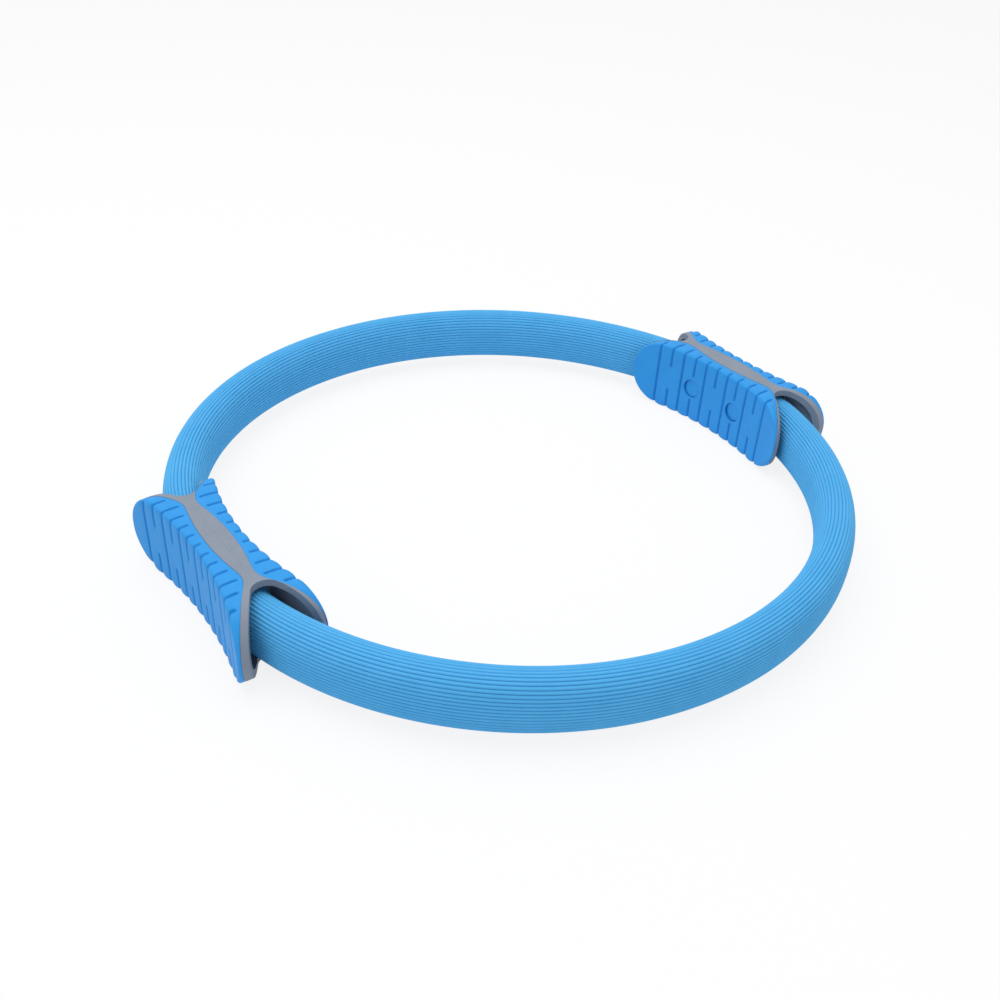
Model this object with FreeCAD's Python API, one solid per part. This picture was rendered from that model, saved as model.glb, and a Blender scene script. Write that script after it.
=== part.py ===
import FreeCAD, Part
import math
import os

from FreeCAD import Vector

# A pilates ring: a sprung hoop in fluted foam with a padded handle on each side.
# Sizes are in millimetres. +X runs through both handles, +Z is the hoop's axis,
# and the origin is on the floor under the hoop's centre.

# Hoop and foam tube
RING_OUTER_DIAMETER = 380.0
TUBE_RADIAL = 20.2
TUBE_AXIAL = 32.4
TUBE_OVAL_POWER = 2.5
FLUTE_COUNT = 44
FLUTE_DEPTH = 0.7

# Spring strip inside the foam
STRIP_THICKNESS = 3.0
STRIP_WIDTH = 22.0
STRIP_END_GAP = 1.0
STRIP_CLEARANCE = 0.3

# Handle
HANDLE_LENGTH = 128.0
CLAMP_LENGTH = 64.0
CLAMP_INSET = 2.7
WAIST_EXTRA = 5.4
END_FLAT = 2.0
WEB_THICKNESS = 3.7
FOLD_RADIUS = 2.2
SHELL_WALL = 2.4

# Mouths at the handle's ends, where the foam tube goes in
MOUTH_HEADROOM = 2.7
MOUTH_SIDE_GAP = 0.5
MOUTH_OUTER_GAP = 11.0
MOUTH_INNER_GAP = 4.2
MOUTH_DEPTH = 23.3
MOUTH_NOTCH_RADIUS = 7.5
MOUTH_LEAN = 2.2
MOUTH_CORNER_RADIUS = 7.0
OUTER_TIP_WALL = 5.9
INNER_TIP_WALL = 3.5
SLEEVE_END_GAP = 0.3

# Grey land between the pads, which runs out into the mouths' rims
LAND_WIDTH = 12.8
LAND_NECK_WIDTH = 6.8
LAND_NECK_PLACE = 32.0
LAND_NECK_RADIUS = 16.0
OUTER_RIM_EDGE = 2.0
INNER_RIM_EDGE = 0.5

# Rubber pads and their grooves
PAD_THICKNESS = 2.0
OUTER_GROOVE_PITCH = 8.5
INNER_GROOVE_PITCH = 9.1
GROOVE_WIDTH = 1.8
GROOVE_DEPTH = 1.2
GROOVE_LAND_MARGIN = 2.2
SHORT_GROOVE_BRIDGE = 16.0
PAD_END_LOBE = 10.0
PLUG_COLUMN_COUNT = 2

# Clamp hardware
SPLICE_THICKNESS = 2.0
SPLICE_WIDTH = 18.0
SPLICE_LENGTH = 54.0
SCREW_DIAMETER = 4.0
SCREW_HEAD_DIAMETER = 7.4
SCREW_HEAD_HEIGHT = 2.4
SCREW_SOCKET_ACROSS = 2.5
SCREW_SOCKET_DEPTH = 1.4
HEAD_SEAT_THICKNESS = 3.6
INSERT_DIAMETER = 6.4
INSERT_LENGTH = 4.6
PLUG_DIAMETER = 11.6
PLUG_RECESS = 0.9
PLUG_STEM_LENGTH = 2.0
POCKET_LENGTH = 18.0
POCKET_HEIGHT = 14.0
FIT_CLEARANCE = 0.05
PART_CLEARANCE = 0.2

# One overrun serves every cut
OVERRUN = 5.0

ORIGIN = Vector(0, 0, 0)
OUTWARD = Vector(1, 0, 0)
ALONG = Vector(0, 1, 0)
UP = Vector(0, 0, 1)

# Places that follow from the sizes above. The hoop is straight inside each clamp,
# then bends through a smaller arc into the main circle.
tube_radius = RING_OUTER_DIAMETER / 2 - TUBE_RADIAL / 2
clamp_half = CLAMP_LENGTH / 2
handle_x = math.sqrt(tube_radius ** 2 - clamp_half ** 2) - CLAMP_INSET
bend_radius = (tube_radius ** 2 - handle_x ** 2 - clamp_half ** 2) / (2 * (tube_radius - handle_x))
bend_centre = Vector(handle_x - bend_radius, clamp_half, 0)
bend_angle = math.degrees(math.atan2(clamp_half, handle_x - bend_radius))

handle_half_length = HANDLE_LENGTH / 2
mouth_half_height = TUBE_AXIAL / 2 + MOUTH_HEADROOM
handle_half_height = mouth_half_height + WEB_THICKNESS
end_radius = handle_half_height - END_FLAT / 2
waist_half = (TUBE_RADIAL + WAIST_EXTRA) / 2

# How far the tube reaches to each side of the strips' middle, at the handle's end
tube_outer_reach = math.sqrt((tube_radius + TUBE_RADIAL / 2) ** 2 - handle_half_length ** 2) - handle_x
tube_inner_reach = handle_x - math.sqrt((tube_radius - TUBE_RADIAL / 2) ** 2 - handle_half_length ** 2)
notch_y = handle_half_length - MOUTH_DEPTH + MOUTH_NOTCH_RADIUS

# The grey land's outline is a lens that meets a neck at each end, all arcs that touch.
neck_centre = Vector(LAND_NECK_WIDTH / 2 + LAND_NECK_RADIUS, LAND_NECK_PLACE, 0)
neck_inset = (LAND_WIDTH - LAND_NECK_WIDTH) / 2
lens_radius = (LAND_NECK_PLACE ** 2 + neck_inset ** 2) / (2 * neck_inset) - LAND_NECK_RADIUS

# The screws stand on the inner pad's groove columns. Their stack is counted outward from the strip.
screw_y = PLUG_COLUMN_COUNT * INNER_GROOVE_PITCH
slot_half = STRIP_THICKNESS / 2 + STRIP_CLEARANCE
splice_outer = slot_half + SPLICE_THICKNESS
insert_start = splice_outer + FIT_CLEARANCE
insert_end = insert_start + INSERT_LENGTH
head_seat = slot_half + HEAD_SEAT_THICKNESS
head_top = head_seat + SCREW_HEAD_HEIGHT
counterbore_diameter = SCREW_HEAD_DIAMETER + 2 * PART_CLEARANCE


class Hollow:
    """An upright round surface through two places along the handle, hollow towards +x."""

    def __init__(self, x_first, y_first, x_second, y_second):
        squares = x_second ** 2 + y_second ** 2 - x_first ** 2 - y_first ** 2
        self.axis = Vector(squares / (2 * (x_second - x_first)), 0, 0)
        self.radius = math.hypot(self.axis.x - x_first, y_first)

    def depth(self, y):
        """How far out the surface is at a place along the handle."""
        return self.axis.x - math.sqrt(self.radius ** 2 - y ** 2)


class Half:
    """The sizes of one half of a handle, in a frame whose x runs out from the strips."""

    def __init__(self, mouth_tip, tip_wall, rim_edge, lean, pitch):
        self.mouth_tip = mouth_tip
        self.tip = mouth_tip + tip_wall
        self.rim = Vector(self.tip - rim_edge, handle_half_length, 0)
        self.face = Hollow(waist_half, 0, self.tip, handle_half_length)
        self.tunnel = Hollow(TUBE_RADIAL / 2 + MOUTH_SIDE_GAP, clamp_half, mouth_tip, handle_half_length)
        self.notch_centre = Vector(lean, notch_y, 0)
        self.pitch = pitch


outer_half = Half(tube_outer_reach + MOUTH_OUTER_GAP, OUTER_TIP_WALL, OUTER_RIM_EDGE,
                  -MOUTH_LEAN, OUTER_GROOVE_PITCH)
inner_half = Half(tube_inner_reach + MOUTH_INNER_GAP, INNER_TIP_WALL, INNER_RIM_EDGE,
                  MOUTH_LEAN, INNER_GROOVE_PITCH)
far_x = 2 * max(outer_half.tip, inner_half.tip)
pad_seat = inner_half.face.depth(screw_y) - PAD_THICKNESS

# Groove columns on each side of the middle. The inner pad has one fewer than the outer.
outer_reach = int((handle_half_length - PAD_END_LOBE) / OUTER_GROOVE_PITCH)
inner_reach = outer_reach - 1


def turned(face, axis_point, start, end):
    """A face in an upright plane, turned about an upright axis from one angle to another."""
    placed = face.copy()
    placed.rotate(axis_point, UP, start)
    return placed.revolve(axis_point, UP, end - start)


def centred_box(x_low, x_high, length, height):
    """A box between two x values, centred in y and z."""
    corner = Vector(x_low, -length / 2, -height / 2)
    return Part.makeBox(x_high - x_low, length, height, corner)


def rod(x_low, x_high, y, diameter):
    """A round rod along x."""
    return Part.makeCylinder(diameter / 2, x_high - x_low, Vector(x_low, y, 0), OUTWARD)


def rod_pair(x_low, x_high, diameter):
    """Two round rods along x, one at each screw."""
    return [rod(x_low, x_high, y, diameter) for y in (-screw_y, screw_y)]


def mirrored(shape, normal):
    """A shape's mirror image through the origin."""
    return shape.mirror(ORIGIN, normal)


# Foam sleeves and spring strips

def oval_point(turn):
    """A point on the tube's squarish oval section, and the outward normal there."""
    across = math.copysign(abs(math.cos(turn)) ** (2 / TUBE_OVAL_POWER), math.cos(turn))
    upright = math.copysign(abs(math.sin(turn)) ** (2 / TUBE_OVAL_POWER), math.sin(turn))
    point = Vector(across * TUBE_RADIAL / 2, 0, upright * TUBE_AXIAL / 2)
    slope_power = TUBE_OVAL_POWER - 1
    normal = Vector(math.copysign(abs(across) ** slope_power, across) / TUBE_RADIAL, 0,
                    math.copysign(abs(upright) ** slope_power, upright) / TUBE_AXIAL)
    return point, normal.normalize()


def even_turns(count):
    """Angles that divide the oval into stretches of equal length."""
    fine_count = 40 * count
    lengths = [0]
    for step in range(fine_count):
        here = oval_point(2 * math.pi * step / fine_count)[0]
        there = oval_point(2 * math.pi * (step + 1) / fine_count)[0]
        lengths.append(lengths[-1] + here.distanceToPoint(there))
    turns = []
    step = 0
    for stretch in range(count):
        while lengths[step] < lengths[-1] * stretch / count:
            step += 1
        turns.append(2 * math.pi * step / fine_count)
    return turns


def strip_section(clearance):
    """The strip's rectangle, grown by a clearance, as a face."""
    across = STRIP_THICKNESS / 2 + clearance
    upright = STRIP_WIDTH / 2 + clearance
    corners = [Vector(-across, 0, -upright),
               Vector(across, 0, -upright),
               Vector(across, 0, upright),
               Vector(-across, 0, upright)]
    return Part.Face(Part.makePolygon(corners + corners[:1]))


def sleeve_section():
    """The foam's oval with its flutes, one arc each, and the slot for the strip."""
    turns = even_turns(2 * FLUTE_COUNT)
    edges = []
    for flute in range(FLUTE_COUNT):
        points = []
        for corner in (-1, 0, 1):
            point, normal = oval_point(turns[(2 * flute + corner) % len(turns)])
            points.append(point - normal * FLUTE_DEPTH * abs(corner))
        edges.append(Part.Arc(*points).toShape())
    outline = Part.Face(Part.Wire(edges))
    return outline.cut(strip_section(STRIP_CLEARANCE)).Faces[0]


def hoop_half(section, end_gap):
    """A section carried round the back half of the hoop, from clamp to clamp."""
    at_clamp = section.translated(Vector(handle_x, clamp_half, 0))
    gap_angle = math.degrees(end_gap / bend_radius)
    bend = turned(at_clamp, bend_centre, gap_angle, bend_angle)
    at_ring = section.translated(Vector(tube_radius, 0, 0))
    bow = turned(at_ring, ORIGIN, bend_angle, 180 - bend_angle)
    return bend.multiFuse([bow, mirrored(bend, OUTWARD)])


def back_strip():
    """Half a hoop of flat strip, straight and drilled at both ends where the handles clamp it."""
    tail = strip_section(0).translated(Vector(handle_x, STRIP_END_GAP / 2, 0))
    tail = tail.extrude(ALONG * (clamp_half - STRIP_END_GAP / 2))
    hole_diameter = SCREW_DIAMETER + 2 * STRIP_CLEARANCE
    tail = tail.cut(rod(handle_x - STRIP_THICKNESS, handle_x + STRIP_THICKNESS, screw_y, hole_diameter))
    return hoop_half(strip_section(0), 0).multiFuse([tail, mirrored(tail, OUTWARD)])


# Handle, in its own frame: x outward from the strips' middle, y along the handle

def outlined_block(inset):
    """The handle's outline seen from the side, rounded at its ends, as a block outside the strips."""
    block = centred_box(0, far_x, HANDLE_LENGTH - 2 * inset, 2 * (handle_half_height - inset))
    cross_edges = [edge for edge in block.Edges if abs(edge.tangentAt(0).x) > 1 / 2]
    return block.makeFillet(end_radius - inset, cross_edges)


def grip_body(half, inset):
    """A half's full form, inset from the pad's surface, with its face's edge rounded all the way."""
    depth = handle_half_height + OVERRUN
    radius = half.face.radius + inset
    body = outlined_block(inset).cut(Part.makeCylinder(radius, 2 * depth, half.face.axis - UP * depth))
    if inset >= FOLD_RADIUS:
        return body
    round_faces = [face for face in body.Faces if isinstance(face.Surface, Part.Cylinder)]
    grip_face = max(round_faces, key=lambda face: face.Surface.Radius)
    return body.makeFillet(FOLD_RADIUS - inset, grip_face.Edges)


def upright_prism(edges):
    """A closed outline in the XY plane, as a block taller than the handle."""
    face = Part.Face(Part.Wire(Part.__sortEdges__(edges)))
    depth = handle_half_height + OVERRUN
    return face.translated(UP * -depth).extrude(UP * (2 * depth))


def touch_direction(centre, radius, tip, side):
    """The way from a circle's centre to the place where a line from the tip touches it."""
    to_tip = tip - centre
    turn = side * math.acos(radius / to_tip.Length)
    way = Vector(to_tip).normalize()
    return Vector(way.x * math.cos(turn) - way.y * math.sin(turn),
                  way.x * math.sin(turn) + way.y * math.cos(turn), 0)


def past_end(start, tip):
    """The place past the handle's end on the line from a start through a tip."""
    return start + (tip - start) * ((tip.y + OVERRUN - start.y) / (tip.y - start.y))


def mouth_prism(half):
    """The arched mouth at the +y end seen from above, with its straight side towards +x."""
    tip = Vector(half.mouth_tip, handle_half_length, 0)
    centre = half.notch_centre
    touch = centre + touch_direction(centre, MOUTH_NOTCH_RADIUS, tip, -1) * MOUTH_NOTCH_RADIUS
    apex = centre - ALONG * MOUTH_NOTCH_RADIUS
    side = centre - OUTWARD * MOUTH_NOTCH_RADIUS
    far_tip = past_end(touch, tip)
    far_side = Vector(side.x, far_tip.y, 0)
    return upright_prism([Part.Arc(side, apex, touch).toShape(),
                          Part.makeLine(touch, far_tip),
                          Part.makeLine(far_tip, far_side),
                          Part.makeLine(far_side, side)])


def land_prism(half, margin):
    """The grey land up to one pad, grown by a margin: a lens and two necks that flare to the ends."""
    lens_centre = Vector(LAND_WIDTH / 2 - lens_radius, 0, 0)
    lens_way = (neck_centre - lens_centre).normalize()
    lens_end = lens_centre + lens_way * (lens_radius + margin)
    lens_start = Vector(lens_end.x, -lens_end.y, 0)
    flare_way = touch_direction(neck_centre, LAND_NECK_RADIUS, half.rim, 1)
    neck_radius = LAND_NECK_RADIUS - margin
    flare = neck_centre + flare_way * neck_radius
    neck = neck_centre - OUTWARD * neck_radius
    far_tip = past_end(flare, half.rim - flare_way * margin)
    far_side = Vector(-OVERRUN, far_tip.y, 0)
    end_run = [Part.Arc(lens_end, neck, flare).toShape(),
               Part.makeLine(flare, far_tip),
               Part.makeLine(far_tip, far_side),
               Part.makeLine(far_side, Vector(far_side.x, 0, 0))]
    middle = Part.Arc(lens_start, Vector(LAND_WIDTH / 2 + margin, 0, 0), lens_end).toShape()
    return upright_prism([middle] + end_run + [mirrored(edge, ALONG) for edge in end_run])


def pad_blank(half):
    """The layer of rubber over a half, before its grooves."""
    return grip_body(half, 0).cut([grip_body(half, PAD_THICKNESS), land_prism(half, 0)])


def groove_cutters(half, columns):
    """Upright slabs square to the face, as deep as the grooves and clear of the grey land."""
    slab = centred_box(0, far_x, GROOVE_WIDTH, 2 * HANDLE_LENGTH)
    slabs = []
    for column in columns:
        placed = slab.copy()
        placed.rotate(half.face.axis, UP, math.degrees(math.asin(column * half.pitch / half.face.radius)))
        slabs.append(placed)
    return Part.makeCompound(slabs).cut([grip_body(half, GROOVE_DEPTH), land_prism(half, GROOVE_LAND_MARGIN)])


def grooved(half, reach, first_full):
    """The pad with its grooves: full ones alternate with short ones from the top and bottom edges."""
    columns = range(-reach, reach + 1)
    bridge = centred_box(0, far_x, 2 * HANDLE_LENGTH, SHORT_GROOVE_BRIDGE)
    full = groove_cutters(half, [column for column in columns if column % 2 == first_full])
    short = groove_cutters(half, [column for column in columns if column % 2 != first_full]).cut(bridge)
    return pad_blank(half).cut([full, short])


def outer_pad():
    return grooved(outer_half, outer_reach, 0)


def inner_pad():
    """As the outer pad, with the other columns full and two round holes for the plugs."""
    pad = grooved(inner_half, inner_reach, 1)
    return mirrored(pad.cut(rod_pair(0, far_x, PLUG_DIAMETER + 2 * PART_CLEARANCE)), OUTWARD)


def tunnel_section(half):
    """Half the tunnel's section at the waist, with rounded corners."""
    x = half.tunnel.depth(0)
    z = mouth_half_height
    corner = MOUTH_CORNER_RADIUS
    sag = corner * (1 - math.sqrt(1 / 2))
    low_corner = Part.Arc(Vector(x - corner, 0, -z), Vector(x - sag, 0, sag - z), Vector(x, 0, corner - z))
    high_corner = Part.Arc(Vector(x, 0, z - corner), Vector(x - sag, 0, z - sag), Vector(x - corner, 0, z))
    edges = [Part.LineSegment(Vector(-far_x, 0, -z), Vector(x - corner, 0, -z)),
             low_corner,
             Part.LineSegment(Vector(x, 0, corner - z), Vector(x, 0, z - corner)),
             high_corner,
             Part.LineSegment(Vector(x - corner, 0, z), Vector(-far_x, 0, z)),
             Part.LineSegment(Vector(-far_x, 0, z), Vector(-far_x, 0, -z))]
    return Part.Face(Part.Wire([edge.toShape() for edge in edges]))


def tunnels(half):
    """The rooms for the foam tube at both ends of a half, on either side of the clamp, with round ends."""
    half_angle = math.degrees(math.asin((handle_half_length + OVERRUN) / half.tunnel.radius))
    room = turned(tunnel_section(half), half.tunnel.axis, -half_angle, half_angle)
    room = room.common(outlined_block(WEB_THICKNESS))
    return room.cut(centred_box(-2 * far_x, 2 * far_x, CLAMP_LENGTH, HANDLE_LENGTH))


def shell_blank(half):
    """A grey half before its fittings: the handle less its pad, its mouths and the strip's slot."""
    body = grip_body(half, 0).cut(pad_blank(half))
    notch = mouth_prism(half)
    slot = centred_box(-slot_half, slot_half, HANDLE_LENGTH, STRIP_WIDTH + 2 * STRIP_CLEARANCE)
    return body.cut([tunnels(half), notch, mirrored(notch, ALONG), slot])


def pocket():
    """The hollow that lightens the middle of a clamp half."""
    return centred_box(0, waist_half - PAD_THICKNESS - SHELL_WALL, POCKET_LENGTH, POCKET_HEIGHT)


def outer_shell():
    """The half that holds the splice plate and the inserts."""
    plate_seat = centred_box(0, splice_outer + FIT_CLEARANCE, SPLICE_LENGTH + 2 * FIT_CLEARANCE,
                             SPLICE_WIDTH + 2 * FIT_CLEARANCE)
    insert_seats = rod_pair(0, insert_end + FIT_CLEARANCE, INSERT_DIAMETER + 2 * FIT_CLEARANCE)
    return shell_blank(outer_half).cut([plate_seat, pocket()] + insert_seats)


def inner_shell():
    """The half that the screws go in through."""
    shank_holes = rod_pair(0, head_seat + OVERRUN, SCREW_DIAMETER + 2 * PART_CLEARANCE)
    counterbores = rod_pair(head_seat, far_x, counterbore_diameter)
    return mirrored(shell_blank(inner_half).cut([pocket()] + shank_holes + counterbores), OUTWARD)


def splice_plate():
    """The steel plate that bridges the two strips' ends."""
    plate = centred_box(slot_half, splice_outer, SPLICE_LENGTH, SPLICE_WIDTH)
    return plate.cut(rod_pair(0, far_x, SCREW_DIAMETER + 2 * PART_CLEARANCE))


def clamp_screw(y):
    """A socket screw whose head is on the inner side and whose tip is in the insert."""
    shank = rod(-head_seat, insert_end, y, SCREW_DIAMETER)
    head = rod(-head_top, -head_seat, y, SCREW_HEAD_DIAMETER)
    corner_radius = SCREW_SOCKET_ACROSS / math.sqrt(3)
    corners = [Vector(-head_top, y + corner_radius * math.cos(math.radians(turn)),
                      corner_radius * math.sin(math.radians(turn))) for turn in range(0, 360, 60)]
    socket = Part.Face(Part.makePolygon(corners + corners[:1])).extrude(OUTWARD * SCREW_SOCKET_DEPTH)
    return head.fuse(shank).cut(socket)


def threaded_insert(y):
    """A brass sleeve for the screw's tip."""
    sleeve = rod(insert_start, insert_end, y, INSERT_DIAMETER)
    return sleeve.cut(rod(0, far_x, y, SCREW_DIAMETER + 2 * FIT_CLEARANCE))


def screw_plug(y):
    """A rubber plug just below the pad's face and curved as it is, with a stem in the counterbore."""
    below = grip_body(inner_half, PAD_THICKNESS - FIT_CLEARANCE)
    disc = grip_body(inner_half, PLUG_RECESS).cut(below).common(rod(0, far_x, y, PLUG_DIAMETER))
    stem_top = pad_seat + (PAD_THICKNESS - PLUG_RECESS) / 2
    stem = rod(pad_seat - PLUG_STEM_LENGTH, stem_top, y, SCREW_HEAD_DIAMETER)
    return mirrored(disc.fuse(stem), OUTWARD)


def pair(make):
    """One fitting at each screw, as two separate solids."""
    return Part.makeCompound([make(-screw_y), make(screw_y)])


def hoop_pieces():
    sleeve = hoop_half(sleeve_section(), SLEEVE_END_GAP)
    strip = back_strip()
    return {"back_sleeve": sleeve,
            "front_sleeve": mirrored(sleeve, ALONG),
            "back_spring_strip": strip,
            "front_spring_strip": mirrored(strip, ALONG)}


def handle_pieces():
    return {"outer_shell": outer_shell(),
            "inner_shell": inner_shell(),
            "outer_pad": outer_pad(),
            "inner_pad": inner_pad(),
            "splice_plate": splice_plate(),
            "clamp_screws": pair(clamp_screw),
            "threaded_inserts": pair(threaded_insert),
            "screw_plugs": pair(screw_plug)}


def placed_pieces():
    """Every piece in its place, with the handles' undersides on the floor."""
    pieces = hoop_pieces()
    for name, shape in handle_pieces().items():
        right = shape.translated(OUTWARD * handle_x)
        left = right.copy()
        left.rotate(ORIGIN, UP, 180)
        pieces["right_" + name] = right
        pieces["left_" + name] = left
    return {name: shape.translated(UP * handle_half_height) for name, shape in pieces.items()}


os.makedirs("parts", exist_ok=True)
for name, shape in placed_pieces().items():
    shape.exportStep("parts/" + name + ".step")
    verdict = "valid" if shape.isValid() else "invalid"
    print(name, len(shape.Solids), "solids", round(shape.Volume), "mm3", verdict)
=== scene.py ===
# %% [markdown]
# # A pilates ring
# The imported CAD model is the fixed frame of this lesson. It has the right pieces in the right
# places, but its surfaces are plain. Each step below looks at one piece of the real ring and makes
# the mesh that shows; the pads and plugs are handed to the body of their handle.

# %% The frame
import math

import bmesh
import bpy
import numpy as np
from mathutils import Matrix, Vector


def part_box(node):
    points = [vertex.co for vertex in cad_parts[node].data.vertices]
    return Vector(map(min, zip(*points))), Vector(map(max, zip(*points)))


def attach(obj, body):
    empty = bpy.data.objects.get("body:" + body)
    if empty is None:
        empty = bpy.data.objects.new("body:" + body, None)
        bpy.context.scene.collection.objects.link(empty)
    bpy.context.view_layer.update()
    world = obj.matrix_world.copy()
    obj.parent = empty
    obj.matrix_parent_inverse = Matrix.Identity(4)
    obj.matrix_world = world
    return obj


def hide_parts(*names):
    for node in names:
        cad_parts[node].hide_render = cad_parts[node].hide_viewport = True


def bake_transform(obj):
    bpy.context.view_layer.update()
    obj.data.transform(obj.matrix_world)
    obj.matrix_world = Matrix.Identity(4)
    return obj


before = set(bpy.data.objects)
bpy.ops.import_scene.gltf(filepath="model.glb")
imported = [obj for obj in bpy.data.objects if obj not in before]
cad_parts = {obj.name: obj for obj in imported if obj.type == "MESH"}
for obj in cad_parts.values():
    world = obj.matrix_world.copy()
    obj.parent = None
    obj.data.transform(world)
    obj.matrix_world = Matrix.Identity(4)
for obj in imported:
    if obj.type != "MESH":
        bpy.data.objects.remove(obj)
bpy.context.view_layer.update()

scene = bpy.context.scene
MM = 0.001

# %% [markdown]
# ## Sizes that the frame gives
# The handle was drawn in CAD, so the box of one of its shells gives its length, its height and the
# height of its middle. What a box can't tell, such as the tube's section, is named with the value
# that the CAD model uses.

# %% Sizes from the frame
shell_low, shell_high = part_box("right_outer_shell")
handle_half_length = (shell_high.y - shell_low.y) / 2
handle_half_height = (shell_high.z - shell_low.z) / 2
middle_height = (shell_high.z + shell_low.z) / 2
TUBE_ACROSS = 20.2 * MM
TUBE_UPRIGHT = 32.4 * MM
RING_OUTER_RADIUS = 190.0 * MM
CLAMP_HALF_LENGTH = 32.0 * MM
CLAMP_INSET = 2.7 * MM
tube_radius = RING_OUTER_RADIUS - TUBE_ACROSS / 2
handle_x = math.sqrt(tube_radius ** 2 - CLAMP_HALF_LENGTH ** 2) - CLAMP_INSET
print("handle half length and half height in mm:",
      [round(size / MM, 2) for size in (handle_half_length, handle_half_height)])

# %% [markdown]
# ## Camera
# The photograph was taken from the front left, looking down by a little over a third of a right
# angle. The camera could be placed by eye, but a walk round the ring is easier to correct: an
# azimuth, an elevation and a distance. Then it turns its head a little, because the ring isn't in
# the middle of the picture.

# %% The camera
VIEW_AZIMUTH = math.radians(-38.4)
VIEW_ELEVATION = math.radians(32.92)
VIEW_DISTANCE = 609.0 * MM
VIEW_TILT = math.radians(-1.55)
VIEW_PAN = math.radians(0.47)
VIEW_ROLL = math.radians(3.71)
FOCAL_SHARE = 1.07
CLIP_START = 10.0 * MM


def photo_camera():
    """The camera at the photograph's angle."""
    data = bpy.data.cameras.new("photo_camera")
    data.lens = FOCAL_SHARE * data.sensor_width
    data.clip_start = CLIP_START
    camera = bpy.data.objects.new("photo_camera", data)
    scene.collection.objects.link(camera)
    round_ring = Matrix.Rotation(VIEW_AZIMUTH, 4, "Z")
    reach = Vector((0, -math.cos(VIEW_ELEVATION), math.sin(VIEW_ELEVATION))) * VIEW_DISTANCE
    place = round_ring @ reach + Vector((0, 0, middle_height))
    look_down = Matrix.Rotation(math.pi / 2 - VIEW_ELEVATION + VIEW_TILT, 4, "X")
    turn_head = Matrix.Rotation(VIEW_PAN, 4, "Y") @ Matrix.Rotation(VIEW_ROLL, 4, "Z")
    camera.matrix_world = Matrix.Translation(place) @ round_ring @ look_down @ turn_head
    scene.camera = camera
    return camera


camera = photo_camera()
print("camera stands at", [round(value, 3) for value in camera.location])

# %% [markdown]
# ## Writing shaders as sums
# A material is a graph of nodes, and arithmetic between nodes is tiring to wire by hand. This
# small class wraps one socket, so that 1 - mask or 0.3 * grain adds the Math node by itself. Any
# other node comes from one method, with its settings first and its inputs after.

# %% Sums of sockets
MIX_FACTOR = 0
MIX_FIRST_COLOUR = 6
MIX_SECOND_COLOUR = 7
MIX_COLOUR_RESULT = 2


class Shade:
    """One socket of a material's nodes. Sums with it add Math nodes."""

    def __init__(self, tree, socket=None):
        self.tree = tree
        self.socket = socket

    def node(self, kind, settings, inputs, output=0):
        """A node of any type, as the socket of one of its outputs."""
        made = self.tree.nodes.new(kind)
        for name, value in settings.items():
            setattr(made, name, value)
        for name, value in inputs.items():
            self.feed(made.inputs[name], value)
        return Shade(self.tree, made.outputs[output])

    def feed(self, socket, value):
        """Links a socket to a wrapped one, or sets its value."""
        if isinstance(value, Shade):
            self.tree.links.new(value.socket, socket)
        else:
            socket.default_value = value

    def math(self, operation, first, second):
        """A Math node on two values or sockets."""
        return self.node("ShaderNodeMath", {"operation": operation}, {0: first, 1: second})

    def __add__(self, other):
        return self.math("ADD", self, other)

    __radd__ = __add__

    def __sub__(self, other):
        return self.math("SUBTRACT", self, other)

    def __rsub__(self, other):
        return self.math("SUBTRACT", other, self)

    def __mul__(self, other):
        return self.math("MULTIPLY", self, other)

    __rmul__ = __mul__

    def between(self, first, second):
        """A colour that goes from the first to the second as this value goes from 0 to 1."""
        inputs = {MIX_FACTOR: self, MIX_FIRST_COLOUR: first, MIX_SECOND_COLOUR: second}
        return self.node("ShaderNodeMix", {"data_type": "RGBA"}, inputs, MIX_COLOUR_RESULT)


def srgb(red, green, blue):
    """A colour as a picture shows it, from 0 to 255, in the linear form that shaders use."""
    shares = np.array([red, green, blue]) / 255
    linear = np.where(shares <= 0.04045, shares / 12.92, ((shares + 0.055) / 1.055) ** 2.4)
    return (*linear.tolist(), 1.0)


print("a middle grey of 128 is", round(srgb(128, 128, 128)[0], 3), "in the shaders' linear form")

# %% [markdown]
# ## A finish in a few words
# Each finish below is one Principled shader that noise, cells or a value from the mesh feed. This
# class holds the shader and makes those patterns by name. They are worked out from the place on
# the piece, so nothing has to be unwrapped and no picture is needed.

# %% Finishes
BEVEL_SAMPLES = 8


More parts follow.
